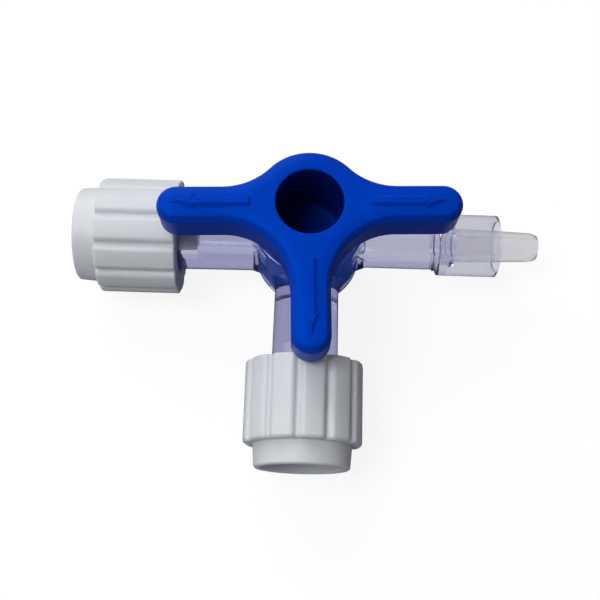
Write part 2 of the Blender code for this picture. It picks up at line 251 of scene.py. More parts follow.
dim_air = add(sky_nodes, "ShaderNodeBackground", (0, 200), Color=(0.97, 0.95, 1.0, 1.0))
sky_links.new(level.outputs["Result"], dim_air.inputs["Strength"])
white_air = add(sky_nodes, "ShaderNodeBackground", (0, -200), Color=(1.0, 1.0, 1.0, 1.0), Strength=1.0)
air = add(sky_nodes, "ShaderNodeMixShader", (200, 0))
sky_links.new(sky_seen.outputs[0], air.inputs["Fac"])
sky_links.new(dim_air.outputs[0], air.inputs[1])
sky_links.new(white_air.outputs[0], air.inputs[2])
sky_links.new(air.outputs[0], sky_out.inputs["Surface"])
print("made", world.name)

# %% [markdown]
# ## The lamps
#
# The handle's upper rims shine and its front walls are dark, so the main light comes from a window behind and
# to the left. A ceiling lamp lights the tops of the caps, and a weak lamp in front keeps their ends from
# going black. All three are wide, which gives soft shadows.


# %% Lamps
def soft_lamp(name, place, size, power):
    """A square area lamp that looks at the middle of the part."""
    lamp = bpy.data.lights.new(name, "AREA")
    lamp.shape = "SQUARE"
    lamp.size = size
    lamp.energy = power
    made = bpy.data.objects.new(name, lamp)
    bpy.context.scene.collection.objects.link(made)
    gaze = (-Vector(place)).to_track_quat("-Z", "Y").to_matrix().to_4x4()
    made.matrix_world = Matrix.Translation(place) @ gaze
    print(name, "of", power, "W")


soft_lamp("window lamp", (-0.12, 0.26, 0.23), 0.24, 0.80)
soft_lamp("ceiling lamp", (-0.16, -0.02, 0.36), 0.16, 0.92)
soft_lamp("weak front lamp", (-0.08, -0.34, 0.16), 0.20, 0.13)

# %% [markdown]
# ## The plastics
#
# Moulded plastic is never one flat colour. The blue handle has a little variation of tone, a gloss that
# varies with it, and a faint orange peel. Its gloss is tinted, because a satin blue gives back blue light and
# not white. The same recipe makes three blues: the handle's own, a darker one with painted shade for the deep
# hollow, and a lighter one with painted light for the plug, which is seen through the clear barrel and would
# be too dark there.


# %% Blue plastic
def blue_plastic(name, low, high):
    """Satin blue between two tones."""
    material, nodes, links, output = new_material(name)
    place = add(nodes, "ShaderNodeTexCoord", (-900, 0))
    tone = add(nodes, "ShaderNodeTexNoise", (-650, 150), Scale=90.0, Detail=3.0)
    links.new(place.outputs["Object"], tone.inputs["Vector"])
    shades = add(nodes, "ShaderNodeValToRGB", (-400, 150))
    shades.color_ramp.elements[0].color = low
    shades.color_ramp.elements[0].position = 0.35
    shades.color_ramp.elements[1].color = high
    shades.color_ramp.elements[1].position = 0.65
    links.new(tone.outputs["Fac"], shades.inputs["Fac"])
    peel = add(nodes, "ShaderNodeTexNoise", (-650, -200), Scale=1400.0, Detail=2.0)
    links.new(place.outputs["Object"], peel.inputs["Vector"])
    skin = add(nodes, "ShaderNodeBump", (-400, -200), Strength=0.06, Distance=0.05 * MM)
    links.new(peel.outputs["Fac"], skin.inputs["Height"])
    gloss = add(nodes, "ShaderNodeMapRange", (-400, -50))
    gloss.inputs["To Min"].default_value = 0.33
    gloss.inputs["To Max"].default_value = 0.41
    links.new(tone.outputs["Fac"], gloss.inputs["Value"])
    shader = add(nodes, "ShaderNodeBsdfPrincipled", (200, 0))
    shader.inputs["Specular IOR Level"].default_value = 0.10
    shader.inputs["Specular Tint"].default_value = (0.0, 0.35, 1.0, 1.0)
    links.new(shades.outputs["Color"], shader.inputs["Base Color"])
    links.new(gloss.outputs["Result"], shader.inputs["Roughness"])
    links.new(skin.outputs["Normal"], shader.inputs["Normal"])
    links.new(shader.outputs[0], output.inputs["Surface"])
    return material


blue = blue_plastic("blue moulded plastic", (0.0, 0.033, 0.37, 1.0), (0.0, 0.038, 0.41, 1.0))
# the plug's lighter blue is painted light, standing in for light that barely reaches it through the clear
# barrel
plug_painted_light_blue = blue_plastic("blue plastic with painted light for the plug", (0.01, 0.19, 0.96, 1.0), (0.012, 0.21, 1.0, 1.0))
# the hollow's darker blue is painted shade for the deep recess
hollow_painted_shade_blue = blue_plastic("blue plastic with painted shade for the hollow", (0.0, 0.008, 0.14, 1.0), (0.0, 0.010, 0.16, 1.0))
print("made", [material.name for material in (blue, plug_painted_light_blue, hollow_painted_shade_blue)])

# %% [markdown]
# The caps are a duller white with a very fine grain. White plastic lets some light bleed through, so that the
# valleys between the ribs stay soft: subsurface scattering over about a millimetre does that.


# %% White plastic
def white_plastic(name):
    """Dull white that lets a little light bleed through."""
    material, nodes, links, output = new_material(name)
    place = add(nodes, "ShaderNodeTexCoord", (-900, 0))
    tone = add(nodes, "ShaderNodeTexNoise", (-650, 150), Scale=120.0, Detail=3.0)
    links.new(place.outputs["Object"], tone.inputs["Vector"])
    shades = add(nodes, "ShaderNodeValToRGB", (-400, 150))
    shades.color_ramp.elements[0].color = (0.533, 0.56, 0.585, 1.0)
    shades.color_ramp.elements[0].position = 0.3
    shades.color_ramp.elements[1].color = (0.57, 0.594, 0.615, 1.0)
    shades.color_ramp.elements[1].position = 0.7
    links.new(tone.outputs["Fac"], shades.inputs["Fac"])
    grain = add(nodes, "ShaderNodeTexNoise", (-650, -200), Scale=2600.0, Detail=3.0)
    links.new(place.outputs["Object"], grain.inputs["Vector"])
    skin = add(nodes, "ShaderNodeBump", (-400, -200), Strength=0.12, Distance=0.04 * MM)
    links.new(grain.outputs["Fac"], skin.inputs["Height"])
    shader = add(nodes, "ShaderNodeBsdfPrincipled", (200, 0), Roughness=0.48)
    shader.inputs["Specular IOR Level"].default_value = 0.35
    shader.inputs["Subsurface Weight"].default_value = 0.3
    shader.inputs["Subsurface Radius"].default_value = (1.0, 1.0, 1.0)
    shader.inputs["Subsurface Scale"].default_value = 1.2 * MM
    links.new(shades.outputs["Color"], shader.inputs["Base Color"])
    links.new(skin.outputs["Normal"], shader.inputs["Normal"])
    links.new(shader.outputs[0], output.inputs["Surface"])
    return material


white = white_plastic("white cap plastic")
print("made", white.name)

# %% [markdown]
# The body is a glass-like plastic whose violet comes from its depth: an absorbing volume makes thick walls
# darker than thin ones, which a tinted surface cannot do. The taper at its end is milky, and a rougher
# surface over a paler depth gives that.


# %% Clear and frosted plastic
def clear_plastic(name, roughness, gleam, depth_colour, depth_density):
    """Glass-like plastic; its violet lies in the volume."""
    material, nodes, links, output = new_material(name)
    place = add(nodes, "ShaderNodeTexCoord", (-900, 0))
    flow = add(nodes, "ShaderNodeTexNoise", (-650, -200), Scale=260.0, Detail=2.0)
    links.new(place.outputs["Object"], flow.inputs["Vector"])
    skin = add(nodes, "ShaderNodeBump", (-400, -200), Strength=0.02, Distance=0.06 * MM)
    links.new(flow.outputs["Fac"], skin.inputs["Height"])
    shader = add(nodes, "ShaderNodeBsdfPrincipled", (200, 0), Roughness=roughness, IOR=1.57)
    shader.inputs["Base Color"].default_value = (0.98, 0.98, 1.0, 1.0)
    shader.inputs["Transmission Weight"].default_value = 1.0
    shader.inputs["Specular IOR Level"].default_value = gleam
    links.new(skin.outputs["Normal"], shader.inputs["Normal"])
    depth = add(nodes, "ShaderNodeVolumeAbsorption", (200, -400), Color=depth_colour, Density=depth_density)
    links.new(shader.outputs[0], output.inputs["Surface"])
    links.new(depth.outputs[0], output.inputs["Volume"])
    return material


clear = clear_plastic("clear violet plastic", 0.03, 0.30, (0.13, 0.15, 0.63, 1.0), 118.0)
frosted = clear_plastic("frosted taper plastic", 0.22, 0.5, (0.50, 0.52, 0.64, 1.0), 22.0)
print("made", [material.name for material in (clear, frosted)])

# %% [markdown]
# ## Turning shapes
#
# Most of the part was cut on a lathe, or at least its mould was. A profile is drawn as a few points of radius
# and height, joined by edges, and spun once round Z. Spin leaves a double row where the turn closes and a
# pile of points at each pole, so the doubles are merged before the normals are set outwards.

# %% Spinning
HAIR = 0.001 * MM


def spun(profile, steps, closed=False):
    """A bmesh turned from (radius, height) points in mm; a closed profile makes a ring."""
    bm = bmesh.new()
    line = [bm.verts.new((radius * MM, 0.0, height * MM)) for radius, height in profile]
    for first, second in zip(line, line[1:] + line[:1] if closed else line[1:]):
        bm.edges.new((first, second))
    bmesh.ops.spin(
        bm,
        geom=list(bm.verts) + list(bm.edges),
        cent=(0.0, 0.0, 0.0),
        axis=UP,
        angle=math.tau,
        steps=steps,
        use_merge=True,
    )
    bmesh.ops.remove_doubles(bm, verts=bm.verts, dist=2 * HAIR)
    bmesh.ops.recalc_face_normals(bm, faces=bm.faces)
    return bm


def arc(radius, height, round_off, start, end, steps=6):
    """Profile points on a rounded corner; angles count from straight out, in degrees."""
    points = []
    for step in range(steps + 1):
        angle = math.radians(start + (end - start) * step / steps)
        points.append((radius + round_off * math.cos(angle), height + round_off * math.sin(angle)))
    return points


print("doubles closer than", 2 * HAIR / MM, "mm are merged")

# %% [markdown]
# A turned shape is made up the Z axis and then laid along its port. Its place goes into its mesh, and its
# object stays at the origin, because a pattern that follows the object's coordinates would slide otherwise.


# %% Laying shapes along the ports
def laid_along(direction, roll=0.0):
    """Lays a shape that was made up the Z axis along a port, and rolls it about its own axis."""
    lay = Vector(direction).to_track_quat("Z", "Y").to_matrix().to_4x4()
    return Matrix.Translation(UP * port_level) @ lay @ Matrix.Rotation(math.radians(roll), 4, "Z")


def turned_by(degrees):
    """A turn about the upright axis of the barrel."""
    return Matrix.Rotation(math.radians(degrees), 4, "Z")


def solid(bm, name, place=None):
    """Turns a bmesh into an object at the origin, with its place in its mesh."""
    if place is not None:
        bmesh.ops.transform(bm, matrix=place, verts=bm.verts)
    mesh = bpy.data.meshes.new(name)
    bm.to_mesh(mesh)
    bm.free()
    made = bpy.data.objects.new(name, mesh)
    bpy.context.scene.collection.objects.link(made)
    return made


left, front, right = (-1, 0, 0), (0, -1, 0), (1, 0, 0)
print("ports point", {"left": left, "front": front, "right": right})

# %% [markdown]
# Shapes that belong to one moulding are added and cut with exact booleans. What they leave is kept as one
# plain mesh, so that no modifier and no cutter stays behind. A finished piece gets smooth shading with its
# sharp corners kept, as moulded plastic has them.


# %% Joining and finishing
def combine(base, moulding):
    """Adds and cuts solids in turn, then keeps the result as one plain mesh."""
    for operation, tool in moulding:
        change = base.modifiers.new(tool.name, "BOOLEAN")
        change.operation = operation
        change.solver = "EXACT"
        change.object = tool
    bpy.context.view_layer.update()
    shown = base.evaluated_get(bpy.context.evaluated_depsgraph_get())
    mesh = bpy.data.meshes.new_from_object(shown)
    base.modifiers.clear()
    base.data = mesh
    for _, tool in moulding:
        bpy.data.objects.remove(tool, do_unlink=True)
    return base


def finish_piece(piece, material, body, node, angle):
    """Smooth shading with sharp corners kept, one material, and its place in the moving model."""
    piece.data.materials.clear()
    piece.data.materials.append(material)
    piece.data.shade_smooth()
    piece.data.set_sharp_from_angle(angle=math.radians(angle))
    even = piece.modifiers.new("even shading", "WEIGHTED_NORMAL")
    even.keep_sharp = True
    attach(piece, body)
    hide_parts(node)
    print(piece.name, "has", len(piece.data.polygons), "faces")


print("pieces can be joined and finished")

# %% [markdown]
# ## The handle
#
# The handle's outline is one walk round a hub and three arms, all made of arcs that meet without a corner.
# Spin can draw such a line from single points: it drags a point round an arc's centre and leaves edges
# behind. Eight arcs are drawn in order, and each end is joined to the next beginning.


# %% Drawing with arcs
def arc_chain(bm, centre, radius, start, sweep, steps):
    """Spins one point round a centre; gives the first and the last point of the arc."""
    angle = math.radians(start)
    middle = Vector((centre[0], centre[1], 0.0))
    first = bm.verts.new((middle + Vector((math.cos(angle), math.sin(angle), 0.0)) * radius) * MM)
    turn = bmesh.ops.spin(
        bm, geom=[first], cent=middle * MM, axis=UP, angle=math.radians(sweep), steps=steps
    )
    last = next(item for item in turn["geom_last"] if isinstance(item, bmesh.types.BMVert))
    return first, last


def outline_of(curves):
    """A flat face whose rim is a closed walk of arcs, joined by straight runs."""
    bm = bmesh.new()
    ends = [arc_chain(bm, *curve) for curve in curves]
    for (_, last), (first, _) in zip(ends, ends[1:] + ends[:1]):
        if (last.co - first.co).length > HAIR:
            bm.edges.new((last, first))
    bmesh.ops.remove_doubles(bm, verts=bm.verts, dist=HAIR)
    bmesh.ops.contextual_create(bm, geom=bm.edges)
    bmesh.ops.recalc_face_normals(bm, faces=bm.faces)
    return bm


print("a walk of arcs can become a flat face")

# %% [markdown]
# The hub and the tips of the arms are plain circles. The circles of the flow between them touch the side of
# an arm and, at the back, the hub. The middle of such a circle lies on the diagonal, as far out as the radius
# of the hub and its own together, and that gives its size. In front the flow runs straight from arm to arm.

# %% Outline of the handle
hub_radius = 6.95
arm_reach = 18.95
arm_half = 2.43
flow_radius = (hub_radius - math.sqrt(2.0) * arm_half) / (math.sqrt(2.0) - 1.0)
flow_at = arm_half + flow_radius
tip_at = arm_reach - arm_half

handle_arcs = [
    ((tip_at, 0.0), arm_half, -90, 180, 40),
    ((flow_at, flow_at), flow_radius, -90, -45, 24),
    ((0.0, 0.0), hub_radius, 45, 90, 40),
    ((-flow_at, flow_at), flow_radius, -45, -45, 24),
    ((-tip_at, 0.0), arm_half, 90, 180, 40),
    ((-flow_at, -flow_at), flow_radius, 90, -90, 48),
    ((0.0, -tip_at), arm_half, 180, 180, 40),
    ((flow_at, -flow_at), flow_radius, 180, -90, 48),
]
print("the hub flows into the arms with a radius of", round(flow_radius, 2), "mm")

# %% [markdown]
# The outline becomes a slab, and the slab's edges are shaped by rows of small steps inwards and upwards. At
# the foot they go round a quarter circle. At the top the photograph shows a steep dark shoulder right inside
# the outline, so the first steps there rise more than they go in. Flatter and flatter steps then give the
# arms a gentle crown, which catches the light.


# %% Rows of steps
def steps_between(places):
    """Turns a row of places into the steps (inwards, upwards) from each to the next."""
    return [(b[0] - a[0], b[1] - a[1]) for a, b in zip(places, places[1:])]


def quarter(radius, steps):
    """Steps round a quarter circle, from upright to level."""
    angles = [math.radians(90.0 * step / steps) for step in range(steps + 1)]
    return steps_between([(radius * (1.0 - math.cos(a)), radius * math.sin(a)) for a in angles])


def crown(width, rise, steps):
    """Flatter and flatter steps up to the middle."""
    shares = [step / steps for step in range(steps + 1)]
    return steps_between([(width * share, rise * (1.0 - (1.0 - share) ** 2)) for share in shares])


foot_round = quarter(0.25, 3)
steep_shoulder = [(0.05, 0.20), (0.46, 0.80), (0.07, 0.06)]
gentle_crown = crown(1.60, 0.24, 7)
shoulder_rise = sum(upwards for _, upwards in steep_shoulder)
print("the shoulder rises", round(shoulder_rise, 2), "mm over", len(steep_shoulder), "steps")

# %% [markdown]
# Inset takes a face in by one step and lifts it at the same time, and leaves a ring of faces round it. To
# make a slab, the flat face is pulled up with the original kept, and then both faces are stepped in, one
# upwards and one downwards.


# %% Slab of the handle
def soft_slab(bm, foot, top, foot_steps, top_steps):
    """Raises a flat face to a slab and steps its two rims in, all in mm."""
    rise_top = sum(step[1] for step in top_steps)
    rise_foot = sum(step[1] for step in foot_steps)
    bmesh.ops.translate(bm, verts=bm.verts, vec=UP * (foot + rise_foot) * MM)
    base = bm.faces[:][0]
    if base.normal.z > 0:
        bmesh.ops.reverse_faces(bm, faces=[base])
    raised = bmesh.ops.extrude_face_region(bm, geom=[base], use_keep_orig=True)["geom"]
    lid = next(item for item in raised if isinstance(item, bmesh.types.BMFace))
    bmesh.ops.translate(
        bm,
        verts=[item for item in raised if isinstance(item, bmesh.types.BMVert)],
        vec=UP * (top - rise_top - foot - rise_foot) * MM,
    )
    bmesh.ops.recalc_face_normals(bm, faces=bm.faces)
    for face, steps in ((lid, top_steps), (base, foot_steps)):
        for inwards, upwards in steps:
            bmesh.ops.inset_region(
                bm, faces=[face], thickness=inwards * MM, depth=upwards * MM, use_even_offset=True
            )
    return bm


handle_thickness = 5.6
arrow_proud = 0.35
handle_top = arrows_top / MM - arrow_proud
handle_foot = handle_top - handle_thickness
handle_slab = soft_slab(
    outline_of(handle_arcs), handle_foot, handle_top, foot_round, steep_shoulder + gentle_crown
)
print("the handle's slab lies from", round(handle_foot, 2), "to", round(handle_top, 2), "mm")

# %% [markdown]
# Each arm carries a raised arrow that points out along the port it opens. Its flanks slope, as they must to
# leave the mould, so it is stepped in and up in the same way as the slab. Only the two corners at the inner
# end of its shaft are round, and a bevel of single points makes them so.

# %% Arrows
arrow_start, head_start, arrow_end = 7.2, 14.1, 17.0
shaft_half, head_half = 0.72, 1.08
arrow_sunk = 1.0


def arrow():
    """An arrow along +X, sunk a little into the arm."""
    bm = bmesh.new()
    half = [(arrow_start, shaft_half), (head_start, shaft_half), (head_start, head_half), (arrow_end, 0.0)]
    rim = [(x, -y) for x, y in half] + [(x, y) for x, y in half[-2::-1]]
    bm.faces.new([bm.verts.new((x * MM, y * MM, 0.0)) for x, y in rim])
    middle = (arrow_start + head_start) / 2
    bmesh.ops.bevel(
        bm,
        geom=[vert for vert in bm.verts if vert.co.x < middle * MM],
        offset=0.45 * MM,
        segments=4,
        profile=0.5,
        affect="VERTICES",
        material=-1,
    )
    flanks = [(0.30, 0.27), (0.10, 0.08)]
    return soft_slab(bm, handle_top - arrow_sunk, handle_top + arrow_proud, [(0.02, 0.02)], flanks)


arrows = [
    ("UNION", solid(arrow(), "arrow " + side, turned_by(degrees)))
    for side, degrees in (("right", 0), ("left", 180), ("front", -90))
]
print("arrows:", len(arrows))

# %% [markdown]
# Under the slab hangs the plug. It is hollow from above, and in its foot three passages meet that join the
# ports. A shoulder covers the barrel's rim, and a snap bead near the foot keeps the plug in. The plug and its
# hollow are turned. The plug is drawn a hair wider than the bore, so that blue shows right behind the clear
# wall, with no bright film of air between them.

# %% Plug and hollow
barrel_radius = 7.25
barrel_height = 13.35
bore_radius = 5.85
plug_radius = bore_radius + 0.01
root_radius = 6.6
root_height = handle_foot + handle_thickness / 2
rim_gap = 0.30
plug_edge = 0.30
bead_foot, bead_top = 0.6, 2.0
bead_lead = 0.25
bead_proud = 0.2
hole_radius = 4.2
hole_floor = 9.2
hole_edge = 0.25
hole_floor_round = 0.7

plug = spun(
    [(0.0, root_height), (bore_radius, root_height), (root_radius, handle_foot)]
    + [(root_radius, barrel_height + rim_gap), (plug_radius, barrel_height + rim_gap)]
    + [(plug_radius, bead_top + bead_lead), (plug_radius + bead_proud, bead_top)]
    + [(plug_radius + bead_proud, bead_foot), (plug_radius, bead_foot - bead_lead)]
    + arc(plug_radius - plug_edge, plug_edge, plug_edge, 0, -90)
    + [(0.0, 0.0)],
    128,
)
hollow = spun(
    [(0.0, handle_top + 1.0), (hole_radius + hole_edge, handle_top + 1.0)]
    + arc(hole_radius + hole_edge, handle_top - hole_edge, hole_edge, 90, 180)
    + arc(hole_radius - hole_floor_round, hole_floor + hole_floor_round, hole_floor_round, 0, -90)
    + [(0.0, hole_floor)],
    128,
)
print("the plug is", round(2 * plug_radius, 2), "mm thick, its hollow", 2 * hole_radius, "mm wide")

# %% [markdown]
# The passages are drilled with plain rods, one right through and one from the middle to the front. Then the
# handle is joined, and turned by two degrees, as it stands in the photograph. The faces of the hollow get a
# darker blue with painted shade, and those of the plug a lighter blue with painted light.

# %% Handle
lumen_radius = 1.2
handle_turned = 2.1
blue_index, hollow_painted_shade_index, plug_painted_light_index = range(3)


def rod(start, end, direction, roll):
    """A plain round rod along a port, used to drill."""
    shape = spun([(0.0, end), (lumen_radius, end), (lumen_radius, start), (0.0, start)], 48)
    return solid(shape, "drill", laid_along(direction, roll))


handle = combine(
    solid(handle_slab, "handle_finished"),
    [("UNION", solid(plug, "plug"))]
    + arrows
    + [
        ("DIFFERENCE", solid(hollow, "hollow")),
        ("DIFFERENCE", rod(-barrel_radius, barrel_radius, right, 2.9)),
        ("DIFFERENCE", rod(0.0, barrel_radius, front, 5.8)),
    ],
)
handle.data.transform(turned_by(handle_turned))
finish_piece(handle, blue, "handle", "handle", 38.0)
handle.data.materials.append(hollow_painted_shade_blue)
handle.data.materials.append(plug_painted_light_blue)
# faces in the hollow get the blue with painted shade, faces of the plug the blue with painted light
for face in handle.data.polygons:
    far_out = face.center.xy.length / MM
    height = face.center.z / MM
    if far_out < hole_radius + 0.05 and hole_floor - 0.1 < height < handle_top - 0.5:
        face.material_index = hollow_painted_shade_index
    elif height < barrel_height:
        face.material_index = plug_painted_light_index
    else:
        face.material_index = blue_index
print("faces in the hollow:", sum(face.material_index == hollow_painted_shade_index for face in handle.data.polygons))

# %% [markdown]
# ## The clear body
#
# The body is an upright barrel with three arms. Clear plastic shows every inner wall, so the bore and the
# passages are cut with the same care as the outside. The barrel and its bore are turned first. The bore has
# the groove that the plug's bead runs in.

# %% Barrel and bore
barrel_edge = 0.35
groove_depth = 0.25
past_end = 0.35

barrel = spun(
    [(0.0, barrel_height)]
    + arc(barrel_radius - barrel_edge, barrel_height - barrel_edge, barrel_edge, 90, 0)
    + arc(barrel_radius - barrel_edge, barrel_edge, barrel_edge, 0, -90)
    + [(0.0, 0.0)],
    128,
)
bore = spun(
    [(0.0, barrel_height + past_end), (bore_radius, barrel_height + past_end)]
    + [(bore_radius, bead_top + bead_lead), (bore_radius + groove_depth, bead_top)]
    + [(bore_radius + groove_depth, bead_foot), (bore_radius, bead_foot - bead_lead)]
    + [(bore_radius, -past_end), (0.0, -past_end)],
    128,
)
print("barrel", 2 * barrel_radius, "mm across, wall", round(barrel_radius - bore_radius, 2), "mm")

# %% [markdown]
# Two arms end in a neck with a female taper and small lugs for a screw cap. A luer taper widens by six
# percent on its diameter, which is three on its radius. Each arm flares where it meets the barrel, and the
# little flares bend the light into the dark marks that the photograph shows there.

# %% Capped arms
TAPER_SLOPE = 0.03
arm_start = bore_radius / 2
passage_start = bore_radius - 2.0
mouth = 24.6
mouth_edge = 0.3
neck_radius = 3.36
neck_foot = 18.6
arm_radius = 4.35
arm_radius_at_flare = 4.25
flare_top, flare_foot = 7.4, 5.2
flare_radius = 5.0
socket_depth = 9.8
socket_radius = 2.145


def capped_arm():
    """The arm tapers a little, steps down to the neck at its shoulder, and ends in a soft rim."""
    edge = mouth_edge
    return spun(
        [(0.0, mouth), (socket_radius + edge, mouth)]
        + arc(neck_radius - edge, mouth - edge, edge, 90, 0, 4)
        + arc(neck_radius + edge, neck_foot + edge, edge, 180, 270, 4)
        + arc(arm_radius - edge, neck_foot - edge, edge, 90, 0, 4)
        + [(arm_radius_at_flare, flare_top), (flare_radius, flare_foot)]
        + [(flare_radius, arm_start), (0.0, arm_start)],
        96,
    )


def socket():
    """The passage, and the female taper that widens towards the mouth and a little past it."""
    past = 0.3
    socket_foot = mouth - socket_depth
    return spun(
        [(0.0, mouth + past), (socket_radius + TAPER_SLOPE * past, mouth + past)]
        + [(socket_radius - TAPER_SLOPE * socket_depth, socket_foot), (lumen_radius, socket_foot)]
        + [(lumen_radius, passage_start), (0.0, passage_start)],
        64,
    )


print("capped arms reach to", mouth, "mm, the flare is", flare_radius, "mm in radius")

# %% [markdown]
# The lugs are two ears near the mouth. A turned disc with its two sides cut flat gives both at once. Bisect
# cuts a side off, and the open side is filled again.

# %% Lugs
lug_foot, lug_top = 23.2, 24.3
lug_radius = 3.9
lug_half_width = 2.6
lug_edge = 0.2


def lugs():
    """Two ears: a disc with its sides cut flat and its rim softened."""
    bm = spun(
        [(0.0, lug_top)]
        + arc(lug_radius - lug_edge, lug_top - lug_edge, lug_edge, 90, 0, 3)
        + arc(lug_radius - lug_edge, lug_foot + lug_edge, lug_edge, 0, -90, 3)
        + [(0.0, lug_foot)],
        64,
    )
    for side in (1.0, -1.0):
        found = bmesh.ops.bisect_plane(
            bm,
            geom=bm.verts[:] + bm.edges[:] + bm.faces[:],
            plane_co=(0.0, side * lug_half_width * MM, 0.0),
            plane_no=(0.0, side, 0.0),
            clear_outer=True,
        )
        rim = [item for item in found["geom_cut"] if isinstance(item, bmesh.types.BMEdge)]
        bmesh.ops.contextual_create(bm, geom=rim)
    bmesh.ops.recalc_face_normals(bm, faces=bm.faces)
    return bm


print("lugs", 2 * lug_radius, "mm across")

# %% [markdown]
# The third arm ends in a male taper. Between a thin stop ring and a snap ring lies the spindle on which the
# collar runs. The heights follow each other along the arm, so each is given by the one before it.

# %% Heights along the male arm
stop_foot = 16.95
stop_top = stop_foot + 0.30
end_play = 0.30
web_width = 1.2
collar_foot = stop_top + end_play
snap_foot = collar_foot + web_width + end_play
snap_top = snap_foot + 0.70
tip = 31.1
tip_radius = 1.975
taper_root_radius = tip_radius + TAPER_SLOPE * (tip - snap_top)
print("the male taper grows from", tip_radius, "to", round(taper_root_radius, 3), "mm in radius")

# %% [markdown]
# The arm is one long profile, read from its tip back to the barrel: rounded tip, taper, snap ring, spindle,
# stop ring and flare. Its passage is wide up to the foot of the taper and narrow from there. The photograph
# doesn't show the passage, so its width was chosen. A wider one shows as a dark wedge in the clear arm,
# and the photograph has no such wedge.

# %% Male arm
male_arm_radius = 3.42
male_flare_top, male_flare_foot = 7.9, 5.9
male_flare_radius = 4.2
stop_radius = 3.6
stop_edge = 0.12
spindle_radius = 2.75
snap_radius = 3.0
snap_edge = snap_foot + 0.35
tip_draw, tip_lead = 0.6, 1.4
wide_radius = 1.6


def drawn_tip(steps=10):
    """The tip is rounded by a quarter of a long ellipse."""
    points = []
    for step in range(steps + 1):
        angle = math.radians(90.0 - 90.0 * step / steps)
        draw = tip_draw * (1 - math.cos(angle))
        points.append((tip_radius - draw, tip - tip_lead * (1 - math.sin(angle))))
    return points


male_arm = spun(
    [(0.0, tip)]
    + drawn_tip()
    + [(taper_root_radius, snap_top), (spindle_radius, snap_top), (snap_radius, snap_edge)]
    + [(snap_radius, snap_foot), (spindle_radius, snap_foot), (spindle_radius, stop_top)]
    + arc(stop_radius - stop_edge, stop_top - stop_edge, stop_edge, 90, 0, 3)
    + arc(stop_radius - stop_edge, stop_foot + stop_edge, stop_edge, 0, -90, 3)
    + [(male_arm_radius, stop_foot), (male_arm_radius, male_flare_top)]
    + [(male_flare_radius, male_flare_foot), (male_flare_radius, arm_start), (0.0, arm_start)],
    96,
)


def male_passage():
    """Wide as far as the foot of the taper, then as narrow as the plug's own passages."""
    past = 0.3
    return spun(
        [(0.0, tip + past), (lumen_radius, tip + past), (lumen_radius, snap_top + 1.0)]
        + [(wide_radius, snap_top + 0.1), (wide_radius, passage_start), (0.0, passage_start)],
        64,
    )


print("the male arm is", 2 * male_arm_radius, "mm thick, its passage", 2 * wide_radius, "mm wide")

# %% [markdown]
# Now the body is joined. An exact boolean stumbles where an edge of one shape lies on an edge of another, and
# turned shapes with their points in the same places do just that. So each is rolled a little about its own
# axis first, by its own few degrees, which nobody can see.

# %% Body
rolls = {"barrel": 0.5, "arm": 1.3, "lugs": 0.4, "male arm": 1.1, "socket": 2.2, "passage": 2.9, "bore": 1.45}

moulding = []
for direction in (left, front):
    moulding.append(("UNION", solid(capped_arm(), "arm", laid_along(direction, rolls["arm"]))))
    moulding.append(("UNION", solid(lugs(), "lugs", laid_along(direction, rolls["lugs"]))))
moulding.append(("UNION", solid(male_arm, "male arm", laid_along(right, rolls["male arm"]))))
for direction in (left, front):
    moulding.append(("DIFFERENCE", solid(socket(), "socket", laid_along(direction, rolls["socket"]))))
moulding.append(("DIFFERENCE", solid(male_passage(), "passage", laid_along(right, rolls["passage"]))))
moulding.append(("DIFFERENCE", solid(bore, "bore", turned_by(rolls["bore"]))))
body = combine(solid(barrel, "body_finished", turned_by(rolls["barrel"])), moulding)
finish_piece(body, clear, "body", "body", 32.0)

body.data.materials.append(frosted)
taper_faces = [face for face in body.data.polygons if face.center.x > snap_top * MM]
for face in taper_faces:
    face.material_index = 1
print("frosted faces on the taper:", len(taper_faces))

# %% [markdown]
# ## The collar
#
# The collar is a loose sleeve round the male taper. Its web runs between the stop ring and the snap ring, so
# it turns but does not come off. Its profile is closed, which makes it a ring when it is spun.

# %% Collar
collar_length = 8.05
collar_radius = 4.18
collar_inside = 3.43
collar_eye = 2.85
collar_edge = 0.2
collar_end = collar_foot + collar_length
web_top = collar_foot + web_width

collar_ring = spun(
    [(collar_inside, collar_end)]
    + arc(collar_radius - collar_edge, collar_end - collar_edge, collar_edge, 90, 0, 4)
    + arc(collar_radius - collar_edge, collar_foot + collar_edge, collar_edge, 0, -90, 4)
    + [(collar_eye, collar_foot), (collar_eye, web_top), (collar_inside, web_top)],
    128,
    closed=True,
)
collar = solid(collar_ring, "collar_finished", laid_along(right))
finish_piece(collar, clear, "luer_collar", "luer_collar", 32.0)

# %% [markdown]
# ## The screw caps
#
# A cap is gripped by twelve broad lobes with narrow valleys between them. Seen from its end that is one more
# walk of arcs: a lobe about the cap's own axis, a corner, the valley, and a corner back. The circles of the
# corner and of the valley touch each other, which gives the place of the valley.

# %% Sizes of the grip
lobes = 12
lobe_step = 360.0 / lobes
lobe_half = 7.5
cap_radius = 7.7
corner_radius = 0.7
valley_radius = 0.4
corner_at = cap_radius - corner_radius
gap_angle = math.radians(lobe_step / 2 - lobe_half)
reach = corner_radius + valley_radius
valley_at = corner_at * math.cos(gap_angle) + math.sqrt(reach**2 - (corner_at * math.sin(gap_angle)) ** 2)
lean = math.degrees(math.asin(valley_at * math.sin(gap_angle) / reach))
print("valleys are", round(cap_radius - valley_at + valley_radius, 2), "mm deep")

# %% [markdown]
# The walk itself turns from the lobe onto the corner, from the corner into the valley, and back by the same
# angles on the other side. The grip is the same kind of slab as the handle, rounded well at its outer end and
# barely at its mouth.


# %% Grip of a cap
def around(distance, degrees):
    """A point at some distance from the cap's axis."""
    return (distance * math.cos(math.radians(degrees)), distance * math.sin(math.radians(degrees)))


